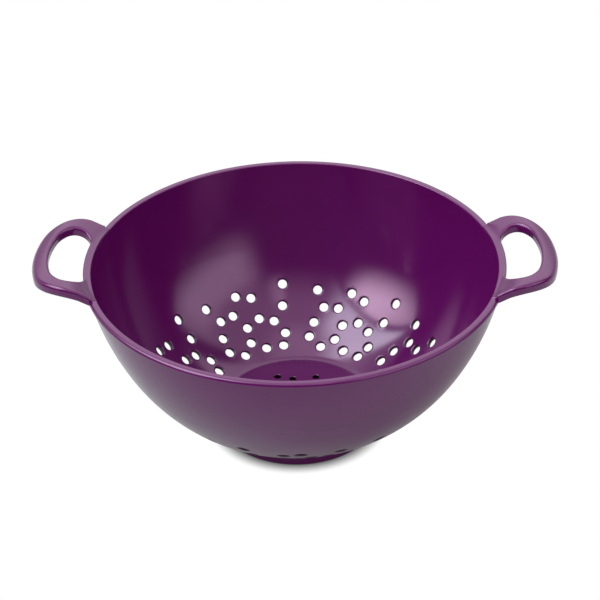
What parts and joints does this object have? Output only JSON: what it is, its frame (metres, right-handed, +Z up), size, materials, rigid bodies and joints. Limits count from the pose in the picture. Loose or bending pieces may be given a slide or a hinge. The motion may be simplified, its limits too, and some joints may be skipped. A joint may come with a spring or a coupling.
{
  "type": "colander",
  "caption": "Round two-handled colander moulded in one piece, with scattered drain holes in its deep wall and floor, a rolled-out rim band and a low foot ring.",
  "frame": {"origin": "the middle of the circle that the foot ring stands on, at the height of the surface it stands on", "axes": "+X through the middle of the right handle, +Z up out of the bowl's mouth, +Y away from the viewer"},
  "size_m": [0.2984, 0.24, 0.117],
  "materials": {
    "purple_melamine": "deep aubergine purple moulded melamine, polished to a smooth gloss"
  },
  "bodies": {
    "root": {"bowl": "purple_melamine", "rim": "purple_melamine", "foot_ring": "purple_melamine", "handle_right": "purple_melamine", "handle_left": "purple_melamine"}
  },
  "joints": []
}
